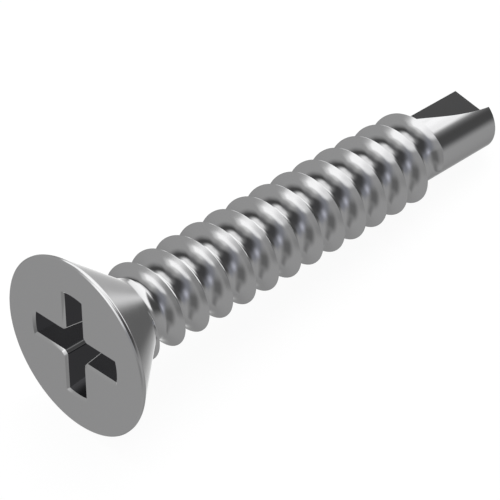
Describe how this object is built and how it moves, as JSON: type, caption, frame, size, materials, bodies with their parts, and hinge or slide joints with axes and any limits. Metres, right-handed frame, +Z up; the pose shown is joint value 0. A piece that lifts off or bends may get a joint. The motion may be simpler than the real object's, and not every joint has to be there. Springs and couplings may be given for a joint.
{
  "type": "self drilling screw",
  "caption": "Countersunk self drilling screw with a cross recess, a full length tapping thread and a fluted drill point.",
  "frame": {"origin": "centre of the footprint of the screw lying on the floor, on the floor", "axes": "+X along the screw from head to tip, level with the floor; +Z up; the screw's own axis leans 5.8 degrees, tip down"},
  "size_m": [0.0264, 0.0082, 0.0082],
  "materials": {
    "steel": "smooth bright steel"
  },
  "bodies": {
    "root": {"screw": "steel"}
  },
  "joints": []
}
